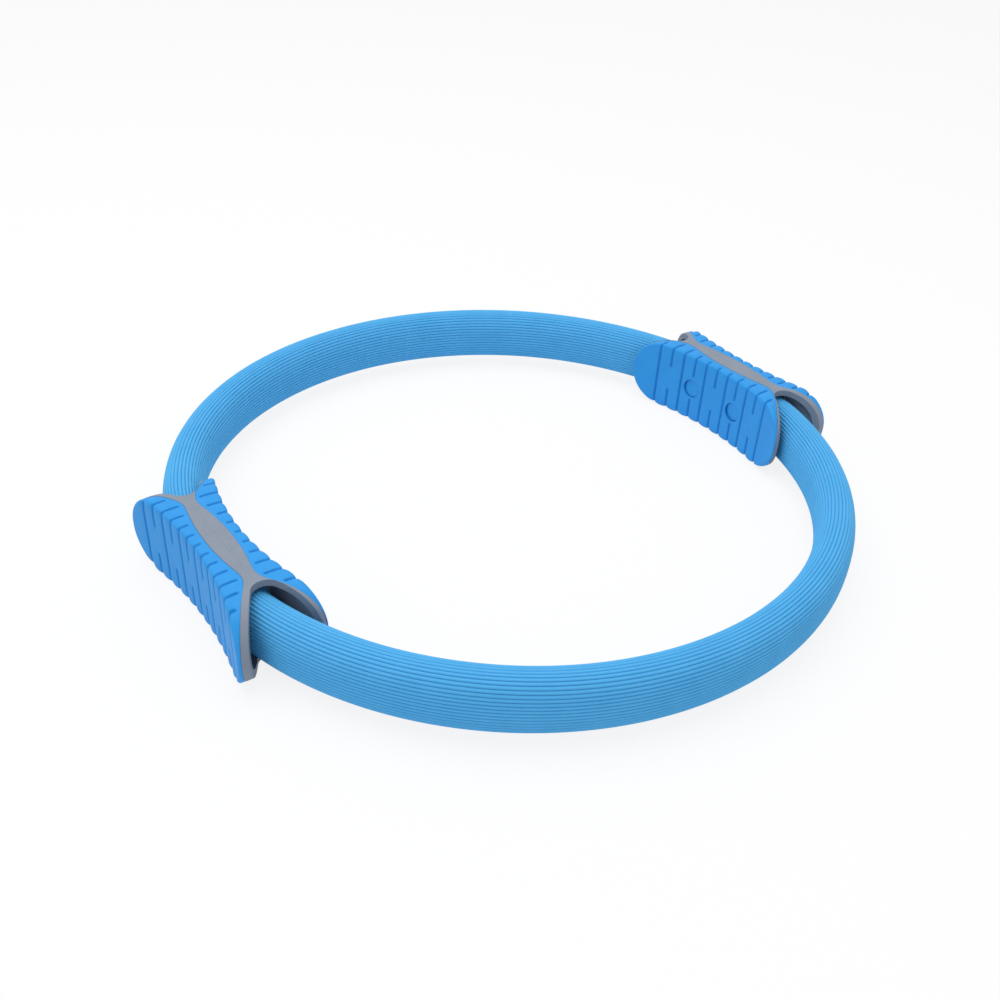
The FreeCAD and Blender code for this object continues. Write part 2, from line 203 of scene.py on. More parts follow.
class Finish:
    """A material with one Principled shader, and the helpers that its nodes share."""

    def __init__(self, name, **constants):
        self.material = bpy.data.materials.new(name)
        self.material.use_nodes = True
        self.tree = self.material.node_tree
        self.shader = self.tree.nodes["Principled BSDF"]
        self.start = Shade(self.tree)
        self.place = self.start.node("ShaderNodeTexCoord", {}, {}, "Object")
        self.feed(**constants)

    def noise(self, grain, detail=2.0, place=None):
        """Soft noise whose spots are about a grain across."""
        inputs = {"Vector": place or self.place, "Scale": 1 / grain, "Detail": detail}
        return self.start.node("ShaderNodeTexNoise", {}, inputs)

    def cells(self, grain):
        """Little cells, dark in their middles, about a grain across."""
        return self.start.node("ShaderNodeTexVoronoi", {}, {"Vector": self.place, "Scale": 1 / grain})

    def stretched(self, x, y, z):
        """The place on the piece, with each direction drawn out by its own factor."""
        factors = {0: self.place, 1: (1 / x, 1 / y, 1 / z)}
        return self.start.node("ShaderNodeVectorMath", {"operation": "MULTIPLY"}, factors)

    def attribute(self, name):
        """A value stored on the mesh's points."""
        return self.start.node("ShaderNodeAttribute", {"attribute_name": name}, {}, "Fac")

    def bump(self, height, depth, edge_round=0):
        """Feeds the shader's normal from a height, where 1 stands a depth proud.

        Where edge_round is given, the piece's edges look rounded by that radius.
        """
        inputs = {"Height": height, "Distance": depth}
        if edge_round:
            inputs["Normal"] = self.start.node(
                "ShaderNodeBevel", {"samples": BEVEL_SAMPLES}, {"Radius": edge_round})
        self.feed(Normal=self.start.node("ShaderNodeBump", {}, inputs))

    def feed(self, **inputs):
        """Feeds the shader's own sockets, from values or from other sockets."""
        for name, value in inputs.items():
            self.start.feed(self.shader.inputs[name.replace("_", " ")], value)


print("patterns of a finish: noise, cells, stretched, attribute and bump")

# %% [markdown]
# ## The foam's finish
# The hoop's cover is closed-cell foam: dull, a little uneven in colour, with tiny cells. The shade
# at the bottom of its flutes is painted in as dark lines. The cells are too small to model, so they
# are a bump. The flutes are real geometry, and a value on the mesh says how deep in a flute a point
# lies, which sets how much painted shade it gets.

# %% Foam finish
FOAM_DEEP = srgb(74, 169, 226)
FOAM_PALE = srgb(88, 181, 236)
# painted shade: the colour that the bottom of each flute is darkened towards
FOAM_VALLEY_SHADE = srgb(42, 116, 178)
VALLEY_SHADE_SHARE = 0.32
FOAM_CELL = 0.5 * MM
FOAM_CLOUD = 14.0 * MM
FOAM_CELL_SHARE = 0.6
FOAM_BUMP = 0.06 * MM


def foam_finish():
    """Dull closed-cell foam, with painted shade at the bottom of its flutes."""
    foam = Finish("fluted_foam", Roughness=0.78, Specular_IOR_Level=0.3)
    cloud = foam.noise(FOAM_CLOUD, detail=4.0)
    cells = foam.cells(FOAM_CELL)
    valley = foam.attribute("valley")
    skin = cloud.between(FOAM_DEEP, FOAM_PALE)
    # painted shade: deeper points of a flute are drawn towards the valley shade colour
    foam.feed(Base_Color=(valley * VALLEY_SHADE_SHARE).between(skin, FOAM_VALLEY_SHADE))
    foam.bump(cells * FOAM_CELL_SHARE + cloud * (1 - FOAM_CELL_SHARE), FOAM_BUMP)
    return foam.material


foam_blue = foam_finish()
print("made", foam_blue.name)

# %% [markdown]
# ## The pads' finish
# The pads are moulded rubber: one even blue with a faint sheen and a very fine grain from the
# mould. Handling rubs the raised bars a little smoother, and the shade in the grooves is painted
# darker. That could be painted on a picture, but the pad's own points can say where a groove is,
# and then the wear and the painted shade follow the shape by themselves.

# %% Rubber finish
RUBBER_DEEP = srgb(30, 144, 220)
RUBBER_PALE = srgb(46, 156, 232)
# painted shade: the colour that grooves and the plug holes' walls are darkened towards
RUBBER_GROOVE_SHADE = srgb(14, 100, 178)
GROOVE_SHADE_SHARE = 0.38
RUBBER_GRAIN = 0.35 * MM
RUBBER_CLOUD = 9.0 * MM
RUBBER_BUMP = 0.05 * MM
RUBBER_ROUGHNESS = 0.65
RUBBER_UNEVENNESS = 0.12
WEAR_POLISH = 0.15


def rubber_finish():
    """Matte moulded rubber, with painted shade in its grooves, and smoother where hands wear it."""
    rubber = Finish("moulded_rubber", Specular_IOR_Level=0.32)
    cloud = rubber.noise(RUBBER_CLOUD, detail=3.0)
    grain = rubber.noise(RUBBER_GRAIN)
    groove = rubber.attribute("groove")
    worn = 1 - groove
    skin = cloud.between(RUBBER_DEEP, RUBBER_PALE)
    # painted shade in the grooves and on the hole walls, set by the groove value
    rubber.feed(Base_Color=(groove * GROOVE_SHADE_SHARE).between(skin, RUBBER_GROOVE_SHADE),
                Roughness=RUBBER_ROUGHNESS + RUBBER_UNEVENNESS * cloud - WEAR_POLISH * worn)
    rubber.bump(grain, RUBBER_BUMP)
    return rubber.material


pad_blue = rubber_finish()
print("made", pad_blue.name)

# %% [markdown]
# ## The grey halves' finish
# The handle's two halves are moulded plastic with a fine spark-eroded grain, which gives the flat
# land on top its dull speckle. Two noises mixed into one tone give the speckle and a slow change
# across it. The halves stay as CAD nodes with sharp edges, so a Bevel node softens how the edges
# catch the light and leaves the mesh as it is.

# %% Plastic finish
PLASTIC_DEEP = srgb(107, 118, 134)
PLASTIC_PALE = srgb(150, 160, 174)
PLASTIC_GRAIN = 0.6 * MM
PLASTIC_CLOUD = 12.0 * MM
PLASTIC_GRAIN_SHARE = 0.65
PLASTIC_ROUGHNESS = 0.5
PLASTIC_UNEVENNESS = 0.2
PLASTIC_BUMP = 0.08 * MM
EDGE_LOOK = 0.3 * MM


def plastic_finish():
    """Speckled grey moulding with edges that look slightly rounded."""
    plastic = Finish("grained_plastic", Specular_IOR_Level=0.4)
    cloud = plastic.noise(PLASTIC_CLOUD, detail=3.0)
    grain = plastic.noise(PLASTIC_GRAIN, detail=3.0)
    tone = grain * PLASTIC_GRAIN_SHARE + cloud * (1 - PLASTIC_GRAIN_SHARE)
    plastic.feed(Base_Color=tone.between(PLASTIC_DEEP, PLASTIC_PALE),
                 Roughness=PLASTIC_ROUGHNESS + PLASTIC_UNEVENNESS * grain)
    plastic.bump(grain, PLASTIC_BUMP, EDGE_LOOK)
    return plastic.material


grip_grey = plastic_finish()
print("made", grip_grey.name)

# %% [markdown]
# ## Finishes inside the handle
# The spring strips are fibreglass with long fibres, the splice plate and screws are zinc-plated
# steel, and the inserts are turned brass. They hardly show, but a bench view should find them.
# Noise that is drawn out in some directions looks like fibres or tool marks, so none is modelled.

# %% Fibreglass, steel and brass
STRIP_DEEP = srgb(186, 178, 140)
STRIP_PALE = srgb(222, 216, 184)
FIBRE_GRAIN = 0.4 * MM
FIBRE_STRETCH = (40, 40, 1)
FIBRE_CLOUD = 20.0 * MM
FIBRE_SHARE = 0.7
FIBRE_BUMP = 0.04 * MM
STEEL_DEEP = srgb(178, 180, 186)
STEEL_PALE = srgb(212, 214, 218)
STEEL_GRAIN = 0.3 * MM
STEEL_ROUGHNESS = 0.3
PLATE_STRETCH = (1, 30, 1)
SCREW_STRETCH = (1, 20, 20)
BRASS_DEEP = srgb(196, 158, 84)
BRASS_PALE = srgb(228, 194, 118)
BRASS_GRAIN = 0.2 * MM
BRASS_ROUGHNESS = 0.25
INSERT_STRETCH = (1, 30, 30)
METAL_UNEVENNESS = 0.2
METAL_BUMP = 0.01 * MM


def fibreglass_finish():
    """Cream fibreglass with long fibres."""
    strip = Finish("fibreglass", Roughness=0.42)
    fibres = strip.noise(FIBRE_GRAIN, place=strip.stretched(*FIBRE_STRETCH))
    cloud = strip.noise(FIBRE_CLOUD)
    tone = fibres * FIBRE_SHARE + cloud * (1 - FIBRE_SHARE)
    strip.feed(Base_Color=tone.between(STRIP_DEEP, STRIP_PALE))
    strip.bump(fibres, FIBRE_BUMP)
    return strip.material


def steel_finish(name, stretch):
    """Zinc-plated steel, with tool marks drawn out by the stretch."""
    steel = Finish(name, Metallic=1.0)
    marks = steel.noise(STEEL_GRAIN, detail=3.0, place=steel.stretched(*stretch))
    steel.feed(Base_Color=marks.between(STEEL_DEEP, STEEL_PALE),
               Roughness=STEEL_ROUGHNESS + METAL_UNEVENNESS * marks)
    steel.bump(marks, METAL_BUMP)
    return steel.material


def brass_finish():
    """Brass with fine marks from turning."""
    brass = Finish("turned_brass", Metallic=1.0)
    marks = brass.noise(BRASS_GRAIN, place=brass.stretched(*INSERT_STRETCH))
    brass.feed(Base_Color=marks.between(BRASS_DEEP, BRASS_PALE),
               Roughness=BRASS_ROUGHNESS + METAL_UNEVENNESS * marks)
    brass.bump(marks, METAL_BUMP)
    return brass.material


strip_cream = fibreglass_finish()
plate_zinc = steel_finish("rolled_zinc", PLATE_STRETCH)
screw_zinc = steel_finish("turned_zinc", SCREW_STRETCH)
insert_brass = brass_finish()
print("made", [finish.name for finish in (strip_cream, plate_zinc, screw_zinc, insert_brass)])

# %% [markdown]
# ## Turning rows of points into a piece
# Modifiers could shape these pieces, but their curves are known, so every mesh below starts as
# an array of points. The first helper makes the object, turns all faces outward, and shades it
# smooth except over sharp edges. The others give the faces between rows of points, and those that
# close both ends of a tube.

# %% Mesh helpers
SHARP_EDGE_DEGREES = 45
SHARP_EDGE = math.radians(SHARP_EDGE_DEGREES)


def new_piece(name, points, faces, finish, values=None):
    """An object from points and faces, with a named value on its points where one is given."""
    mesh = bpy.data.meshes.new(name)
    mesh.from_pydata(points.reshape(-1, 3).tolist(), [], faces)
    for key, numbers in (values or {}).items():
        mesh.attributes.new(key, "FLOAT", "POINT").data.foreach_set("value", numbers.ravel())
    turned_out = bmesh.new()
    turned_out.from_mesh(mesh)
    bmesh.ops.recalc_face_normals(turned_out, faces=turned_out.faces)
    turned_out.to_mesh(mesh)
    turned_out.free()
    mesh.shade_smooth()
    mesh.set_sharp_from_angle(angle=SHARP_EDGE)
    mesh.materials.append(finish)
    piece = bpy.data.objects.new(name, mesh)
    scene.collection.objects.link(piece)
    return piece


def rows_of_quads(start, rows, columns, closed):
    """Faces between neighbouring rows of points, where closed rows join their ends."""
    faces = []
    for row in range(rows - 1):
        for column in range(columns if closed else columns - 1):
            here = start + row * columns + column
            beside = start + row * columns + (column + 1) % columns
            faces.append((here, beside, beside + columns, here + columns))
    return faces


def end_faces(rows, columns):
    """The two faces that close the first and the last of these rows."""
    return [list(range(start, start + columns)) for start in (0, (rows - 1) * columns)]


print("edges over", SHARP_EDGE_DEGREES, "degrees stay sharp")

# %% [markdown]
# ## The fluted foam
# Foam tube of this kind is extruded with fine flutes along it. The section is an oval with
# slightly squared shoulders, and each flute is a round crest between two sharp valleys. A bump
# could draw the flutes, but they are deep enough to shade each other, so they are modelled. They
# are spread round the oval by length, because even angles would make some wider than others.

# %% Foam section
OVAL_POWER = 2.5
FLUTE_COUNT = 44
FLUTE_DEPTH = 0.7 * MM
FLUTE_PLACES = np.array([-1.0, -0.93, -0.72, -0.38, 0.0, 0.38, 0.72, 0.93])
FINE_STEPS = 8000
SLOT_POWER = 8.0
SLOT_ACROSS = 3.6 * MM
SLOT_UPRIGHT = 22.6 * MM


def oval(turns, across, upright, power):
    """Points of a squared oval, and the outward directions there."""
    x = np.sign(np.cos(turns)) * np.abs(np.cos(turns)) ** (2 / power)
    z = np.sign(np.sin(turns)) * np.abs(np.sin(turns)) ** (2 / power)
    points = np.stack([x * across / 2, z * upright / 2], axis=-1)
    slopes = np.stack([np.sign(x) * np.abs(x) ** (power - 1) / across,
                       np.sign(z) * np.abs(z) ** (power - 1) / upright], axis=-1)
    return points, slopes / np.linalg.norm(slopes, axis=-1, keepdims=True)


def even_turns(shares):
    """The oval's turns at these shares of the way round it."""
    fine = np.linspace(0, 2 * math.pi, FINE_STEPS + 1)
    points, _ = oval(fine, TUBE_ACROSS, TUBE_UPRIGHT, OVAL_POWER)
    lengths = np.concatenate([[0], np.cumsum(np.linalg.norm(np.diff(points, axis=0), axis=1))])
    return np.interp(np.mod(shares, 1) * lengths[-1], lengths, fine)


def fluted_outline():
    """The foam's outline, and how deep in a valley each point is, from 0 to 1."""
    places = np.tile(FLUTE_PLACES, FLUTE_COUNT)
    flutes = np.repeat(np.arange(FLUTE_COUNT), len(FLUTE_PLACES))
    points, outward = oval(even_turns((flutes + places / 2) / FLUTE_COUNT),
                           TUBE_ACROSS, TUBE_UPRIGHT, OVAL_POWER)
    pitch_half = math.pi * (TUBE_ACROSS + TUBE_UPRIGHT) / 4 / FLUTE_COUNT
    crest_radius = (pitch_half ** 2 + FLUTE_DEPTH ** 2) / (2 * FLUTE_DEPTH)
    drop = crest_radius - np.sqrt(crest_radius ** 2 - (places * pitch_half) ** 2)
    return points - outward * drop[:, None], drop / FLUTE_DEPTH


def slot_outline():
    """The slot in the foam that the spring strip lies in, one point for each valley."""
    turns = even_turns((np.arange(FLUTE_COUNT) - 0.5) / FLUTE_COUNT)
    return oval(turns, SLOT_ACROSS, SLOT_UPRIGHT, SLOT_POWER)[0]


print("points round the foam and its slot:", len(fluted_outline()[0]), len(slot_outline()))

# %% [markdown]
# ## The path of the hoop
# Inside the handle the strips are clamped straight, and further out the tube follows the hoop's
# circle. A short Bezier curve leads from the one to the other. The ring is the same in all its
# four quarters, so the path of one quarter serves them all. It stops a hair short of the middle,
# so that two quarters never cut into each other when the hoop bends.

# %% Hoop path
SLEEVE_END_GAP = 0.3 * MM
QUARTER_GAP = 0.01 * MM
JOIN_PLACE = 41.0 * MM
BEND_STEPS = 6
BOW_STEPS = 56


def hoop_path(end_gap):
    """The centre line of a quarter hoop from clamp to middle, and the outward directions there."""
    join_turn = math.asin(JOIN_PLACE / tube_radius)
    last_turn = math.acos(QUARTER_GAP / 2 / tube_radius)
    bow_turns = np.linspace(join_turn, last_turn, BOW_STEPS + 1)
    bow_out = np.stack([np.cos(bow_turns), np.sin(bow_turns)], axis=-1)
    bow = bow_out * tube_radius
    first = np.array([handle_x, CLAMP_HALF_LENGTH + end_gap])
    pull = (JOIN_PLACE - first[1]) / 3
    first_pull = first + np.array([0, pull])
    last_pull = bow[0] - pull * np.array([-bow_out[0, 1], bow_out[0, 0]])
    share = np.linspace(0, 1, BEND_STEPS + 1)[:-1, None]
    bend = ((1 - share) ** 3 * first + 3 * (1 - share) ** 2 * share * first_pull
            + 3 * (1 - share) * share ** 2 * last_pull + share ** 3 * bow[0])
    centres = np.concatenate([bend, bow])
    along = np.gradient(centres, axis=0)
    along[0] = (0, pull)
    along[-1] = (-pull, 0)
    outward = np.stack([along[:, 1], -along[:, 0]], axis=-1)
    return centres, outward / np.linalg.norm(outward, axis=-1, keepdims=True)


def carried(outline, centres, outward):
    """An outline repeated at every place of a path, as rows of points."""
    flat = centres[:, None, :] + outward[:, None, :] * outline[None, :, :1]
    heights = np.broadcast_to(outline[None, :, 1:] + middle_height, flat.shape[:2] + (1,))
    return np.concatenate([flat, heights], axis=-1)


path_steps = np.diff(hoop_path(SLEEVE_END_GAP)[0], axis=0)
print("a quarter's path is", round(np.linalg.norm(path_steps, axis=1).sum() / MM, 1), "mm long")

# %% [markdown]
# ## The foam in four quarters
# When the handles are squeezed, the hoop bows out at its front and back. A chain of bones could
# bend it. Here the foam is made in four quarter pieces, and each quarter's placement is baked into
# its mesh.

# %% Foam quarters
SIDES = {"left": -1, "right": 1}
HALVES = {"front": -1, "back": 1}


def bend_with_hoop(piece):
    """Bakes the quarter's placement into its mesh."""
    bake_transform(piece)


def foam_quarter(side, half):
    """A quarter of the foam tube, with the strip's slot through it and both ends closed."""
    outline, depth = fluted_outline()
    slot = slot_outline()
    path = hoop_path(SLEEVE_END_GAP)
    skin = carried(outline, *path)
    lining = carried(slot, *path)
    rows, around = skin.shape[:2]
    lining_start = rows * around
    faces = rows_of_quads(0, rows, around, True) + rows_of_quads(lining_start, rows, FLUTE_COUNT, True)
    per_flute = len(FLUTE_PLACES)
    for row in (0, rows - 1):
        lining_row = lining_start + row * FLUTE_COUNT
        for flute in range(FLUTE_COUNT):
            first = flute * per_flute
            rim = [row * around + (first + step) % around for step in range(per_flute + 1)]
            inside = [lining_row + (flute + step) % FLUTE_COUNT for step in (1, 0)]
            faces.append(rim + inside)
    points = np.concatenate([skin.reshape(-1, 3), lining.reshape(-1, 3)])
    valley = np.concatenate([np.tile(depth ** 2, rows), np.zeros(lining.size // 3)])
    points *= np.array([SIDES[side], HALVES[half], 1])
    piece = new_piece(f"{half}_{side}_foam", points, faces, foam_blue, {"valley": valley})
    bend_with_hoop(piece)
    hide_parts(f"{half}_sleeve")
    return piece


foam_pieces = [foam_quarter(side, half) for side in SIDES for half in HALVES]
print("foam quarters with", len(foam_pieces[0].data.polygons), "faces each")

# %% [markdown]
# ## The spring strips
# A flat fibreglass strip runs through each half of the foam and gives the ring its spring. On the
# real ring it is one length, but here it is cut into the same quarters as the foam. Its straight
# tail lies in the handle's clamp.

# %% Spring strips
STRIP_THICKNESS = 3.0 * MM
STRIP_WIDTH = 22.0 * MM
STRIP_CORNER_POWER = 10.0
STRIP_END_GAP = 1.0 * MM
STRIP_OUTLINE_COUNT = 32
TAIL_STEPS = 4


def strip_quarter(side, half):
    """A quarter of the spring strips, from the middle of a handle to the middle of a half hoop."""
    turns = (np.arange(STRIP_OUTLINE_COUNT) + 0.5) * 2 * math.pi / STRIP_OUTLINE_COUNT
    outline = oval(turns, STRIP_THICKNESS, STRIP_WIDTH, STRIP_CORNER_POWER)[0]
    tail_y = np.linspace(STRIP_END_GAP / 2, CLAMP_HALF_LENGTH, TAIL_STEPS + 1)[:-1]
    tail = np.stack([np.full(TAIL_STEPS, handle_x), tail_y], axis=-1)
    centres, outward = hoop_path(0)
    centres = np.concatenate([tail, centres])
    outward = np.concatenate([np.tile([1.0, 0.0], (TAIL_STEPS, 1)), outward])
    points = carried(outline, centres, outward)
    rows = len(points)
    faces = rows_of_quads(0, rows, STRIP_OUTLINE_COUNT, True) + end_faces(rows, STRIP_OUTLINE_COUNT)
    points *= np.array([SIDES[side], HALVES[half], 1])
    piece = new_piece(f"{half}_{side}_strip", points, faces, strip_cream)
    bend_with_hoop(piece)
    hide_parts(f"{half}_spring_strip")
    return piece


strip_pieces = [strip_quarter(side, half) for side in SIDES for half in HALVES]
print("strip quarters:", len(strip_pieces))

# %% [markdown]
# ## The two halves of a handle
# Each handle has an outer and an inner half, and each half has a hollow face for a hand or a leg
# to press. They differ a little: the hoop curves inward, so the inner half's tips reach further,
# and its grooves are set wider. Seen from above, the grey land between the two pads is a lens
# with a neck at each end, and from the necks its border runs straight to the handle's tips. The
# shells have these lines in CAD, and the pads that are made here need the same ones to fit them.

# %% Handle halves
WAIST_HALF = 12.8 * MM
OUTER_TIP_GAP = 16.9 * MM
INNER_TIP_GAP = 7.7 * MM
LAND_HALF = 6.4 * MM
NECK_HALF = 3.4 * MM
NECK_PLACE = 32.0 * MM
NECK_RADIUS = 16.0 * MM
OUTER_RIM_EDGE = 2.0 * MM
INNER_RIM_EDGE = 0.5 * MM
OUTER_PITCH = 8.5 * MM
INNER_PITCH = 9.1 * MM
OUTER_REACH = 6
INNER_REACH = 5
EVEN = 0
ODD = 1
neck_x = NECK_HALF + NECK_RADIUS
neck_inset = LAND_HALF - NECK_HALF
lens_radius = (NECK_PLACE ** 2 + neck_inset ** 2) / (2 * neck_inset) - NECK_RADIUS
lens_x = LAND_HALF - lens_radius
lens_end_y = NECK_PLACE * lens_radius / (lens_radius + NECK_RADIUS)


def arc_side(radius, offset):
    """Half the width of a circle at a distance from its middle."""
    return np.sqrt(np.maximum(radius ** 2 - offset ** 2, 0))


class Half:
    """One half of a handle, in a frame whose x runs out from the strips' middle.

    Its grooves are numbered from the middle out to its reach. Either the even or the odd ones run
    the whole way.
    """

    def __init__(self, tip, rim_edge, pitch, reach, full_grooves):
        self.pitch = pitch
        self.reach = reach
        self.full_grooves = full_grooves
        rise = tip - WAIST_HALF
        self.face_radius = (handle_half_length ** 2 + rise ** 2) / (2 * rise)
        self.face_axis = WAIST_HALF + self.face_radius
        rim = Vector((tip - rim_edge, handle_half_length))
        to_rim = rim - Vector((neck_x, NECK_PLACE))
        turn = math.atan2(to_rim.y, to_rim.x) + math.acos(NECK_RADIUS / to_rim.length)
        self.flare_x = neck_x + NECK_RADIUS * math.cos(turn)
        self.flare_y = NECK_PLACE + NECK_RADIUS * math.sin(turn)
        self.flare_slope = (rim.x - self.flare_x) / (rim.y - self.flare_y)

    def face(self, y, inset):
        """How far out the hollow face is, or a layer at an inset below the pad's skin."""
        return self.face_axis - arc_side(self.face_radius + inset, y)

    def land_edge(self, y):
        """How far out the grey land reaches at a place along the handle."""
        y = np.abs(y)
        lens = lens_x + arc_side(lens_radius, y)
        neck = neck_x - arc_side(NECK_RADIUS, y - NECK_PLACE)
        flare = self.flare_x + (y - self.flare_y) * self.flare_slope
        return np.select([y < lens_end_y, y < self.flare_y], [lens, neck], flare)


tube_outer_reach = arc_side(RING_OUTER_RADIUS, handle_half_length) - handle_x
tube_inner_reach = handle_x - arc_side(RING_OUTER_RADIUS - TUBE_ACROSS, handle_half_length)
outer_half = Half(tube_outer_reach + OUTER_TIP_GAP, OUTER_RIM_EDGE, OUTER_PITCH, OUTER_REACH, EVEN)
inner_half = Half(tube_inner_reach + INNER_TIP_GAP, INNER_RIM_EDGE, INNER_PITCH, INNER_REACH, ODD)
both_halves = (outer_half, inner_half)
print("face radii in mm:", [round(half.face_radius / MM) for half in both_halves])

# %% [markdown]
# ## The shape of a pad
# A rubber pad wraps one half: up the hollow face, over a tight fold and across the top to the
# grey land. Seen from the side its ends are round. The pad is drawn as columns, each at one place
# along the handle. A column goes straight up, turns over the fold and runs in to the land, and
# near the round ends the fold itself is all that is left of it. A subdivided box could be pushed
# into this shape too, but columns lie along the grooves, where the skin has to bend. An inset
# gives layers below the skin, so the same lines make the underside.

# %% Pad columns
FOLD_RADIUS = 2.2 * MM
END_FLAT = 2.0 * MM
LAND_GAP = 0.05 * MM
FOLD_STEPS = 24
HALVINGS = 40
end_radius = handle_half_height - END_FLAT / 2
end_start = handle_half_length - end_radius
flat_radius = end_radius - FOLD_RADIUS


def outline_height(y, radius):
    """Half the height of an outline whose round ends have this radius."""
    return END_FLAT / 2 + arc_side(radius, np.maximum(np.abs(y) - end_start, 0))


def fold_range(half, y, inset):
    """The turns of the fold at which each column leaves the mid-height and reaches the land."""
    fold = FOLD_RADIUS - inset
    start = np.arcsin(np.clip((np.abs(y) - end_start - flat_radius) / fold, 0, 1))
    room = half.face(y, inset) - half.land_edge(y) - LAND_GAP
    stop = np.arccos(np.clip(1 - room / fold, 0, 1))
    return start, stop


def last_column(half, inset):
    """The place along the handle where the pad, or a layer below its skin, runs out."""
    low, high = end_start, handle_half_length - inset
    for _ in range(HALVINGS):
        middle = (low + high) / 2
        start, stop = fold_range(half, middle, inset)
        low, high = (middle, high) if start < stop else (low, middle)
    return low


def column_lines(half, y, inset):
    """The upper half of each column as a line of points, from mid-height to the grey land."""
    start, stop = fold_range(half, y, inset)
    turns = start + np.linspace(0, 1, FOLD_STEPS + 1)[:, None] * (stop - start)
    fold = FOLD_RADIUS - inset
    x = half.face(y, inset) - fold * (1 - np.cos(turns))
    z = outline_height(y, flat_radius + fold * np.sin(turns))
    x = np.concatenate([x[:1], x, np.minimum(x[-1:], half.land_edge(y) + LAND_GAP)])
    z = np.concatenate([np.zeros_like(z[:1]), z, z[-1:]])
    return np.stack([x, np.broadcast_to(y, x.shape), z], axis=-1)


print("pads end", [round((handle_half_length - last_column(half, 0)) / MM, 2)
                   for half in both_halves], "mm short of the handle's ends")

# %% [markdown]
# ## Rows across the columns
# The rows of the net are spread along the columns by length, closer together on the fold and at
# the border, where the skin bends most. Even rows would need more points to bend as smoothly.

# %% Rows
SKIN_ROWS = 52
FOLD_CROWDING = 2.4
TOP_CROWDING = 1.3
BORDER_OFFSETS = np.array([0.7, 0.45, 0.27, 0.13, 0.04, 0.0]) * MM
SHORT_COLUMN = 3.0 * MM


def rows_along(lines, count):
    """Rows of points up the columns, how far along its column each is, and where the fold is."""
    steps = np.linalg.norm(np.diff(lines, axis=0), axis=-1)
    crowding = np.full((len(steps), 1), FOLD_CROWDING)
    crowding[0] = 1
    crowding[-1] = TOP_CROWDING
    start = np.zeros((1, steps.shape[1]))
    runs = np.concatenate([start, np.cumsum(steps, axis=0)])
    ranks = np.concatenate([start, np.cumsum(steps * crowding, axis=0)])
    points = []
    places = []
    for line, run, rank in zip(lines.swapaxes(0, 1), runs.T, ranks.T):
        offsets = BORDER_OFFSETS * min(1, run[-1] / SHORT_COLUMN)
        last_rank = np.interp(run[-1] - offsets[0], run, rank)
        spread = np.interp(np.linspace(0, last_rank, count + 1)[:-1], rank, run)
        place = np.concatenate([spread, run[-1] - offsets])
        places.append(place)
        points.append(np.stack([np.interp(place, run, line[:, axis]) for axis in range(3)], axis=-1))
    return np.stack(points, axis=1), np.stack(places, axis=1), runs[len(runs) // 2]


def both_ways(rows, mirror):
    """Rows of the upper half with their mirror images below, from bottom to top."""
    return np.concatenate([rows[:0:-1] * mirror, rows])


middle_places = rows_along(column_lines(outer_half, np.zeros(1), 0), SKIN_ROWS)[1]
print("half a middle column:", len(middle_places), "points in", round(middle_places.max() / MM, 1), "mm")

# %% [markdown]
# ## Bars and grooves
# Upright grooves divide a pad into bars. Every other groove runs the whole way, and those between
# are short and start at the top and bottom edges. On the outer pad the middle groove is a full
# one, and on the inner pad a short one. The bars are pillowed, most of all over the fold, where
# they stand up like beads and the groove between them is shallower. Booleans would leave grooves
# with sharp walls, so each depth comes from the distance to the nearest groove's line.

# %% Groove depth
GROOVE_HALF = 0.65 * MM
GROOVE_SOFT = 0.4 * MM
GROOVE_DEPTH = 0.95 * MM
GROOVE_MARGIN = 2.2 * MM
BRIDGE_HALF = 8.0 * MM
PILLOW_DEPTH = 0.34 * MM
BEAD_DEPTH = 0.55 * MM
BEAD_NEAR = 1.2 * MM
BEAD_FAR = 5.8 * MM
BEAD_FILL_SHARE = 0.4
EDGE_ROUND = 0.2 * MM
EDGE_REACH = 0.7 * MM
LEAST_DISTANCE = 1e-6 * MM


def smooth_step(low, high, value):
    """0 up to the low value, 1 from the high one on, and a smooth change between them."""
    share = np.clip((value - low) / (high - low), 0, 1)
    return share * share * (3 - 2 * share)


def groove_distance(half, y, run, limit):
    """The distance from each place to the nearest groove's centre line."""
    nearest = np.full(run.shape, np.inf)
    for column in range(-half.reach, half.reach + 1):
        place = column * half.pitch
        stop = np.interp(place, y, limit) - GROOVE_MARGIN - GROOVE_HALF
        begin = 0 if column % 2 == half.full_grooves else BRIDGE_HALF + GROOVE_HALF
        beyond = np.maximum(np.maximum(run - stop, begin - run), 0)
        nearest = np.minimum(nearest, np.hypot(y - place, beyond))
    return nearest


def skin_drop(half, points, y, run, fold_run):
    """How far the skin sinks at each place, and how much of that is groove, from 0 to 1."""
    limit = run.max(axis=0)
    distance = groove_distance(half, y, run, limit)
    groove = 1 - smooth_step(GROOVE_HALF - GROOVE_SOFT, GROOVE_HALF + GROOVE_SOFT, distance)
    pillow = np.clip(1 - distance / (half.pitch / 2), 0, 1) ** 2
    bead = 1 - smooth_step(BEAD_NEAR, BEAD_FAR, np.abs(run - fold_run))
    past_flat = np.maximum(np.abs(points[..., 2]) - END_FLAT / 2, 0)
    end_y = end_start + arc_side(y[-1] - end_start, past_flat)
    to_end = np.maximum(end_y - np.abs(y), 0)
    to_land = limit - run
    to_border = to_land * to_end / np.maximum(np.hypot(to_land, to_end), LEAST_DISTANCE)
    edge = np.clip(1 - to_border / EDGE_REACH, 0, 1) ** 2
    groove_drop = groove * GROOVE_DEPTH * (1 - BEAD_FILL_SHARE * bead)
    drop = groove_drop + pillow * (PILLOW_DEPTH + bead * BEAD_DEPTH) + edge * EDGE_ROUND
    return drop, groove


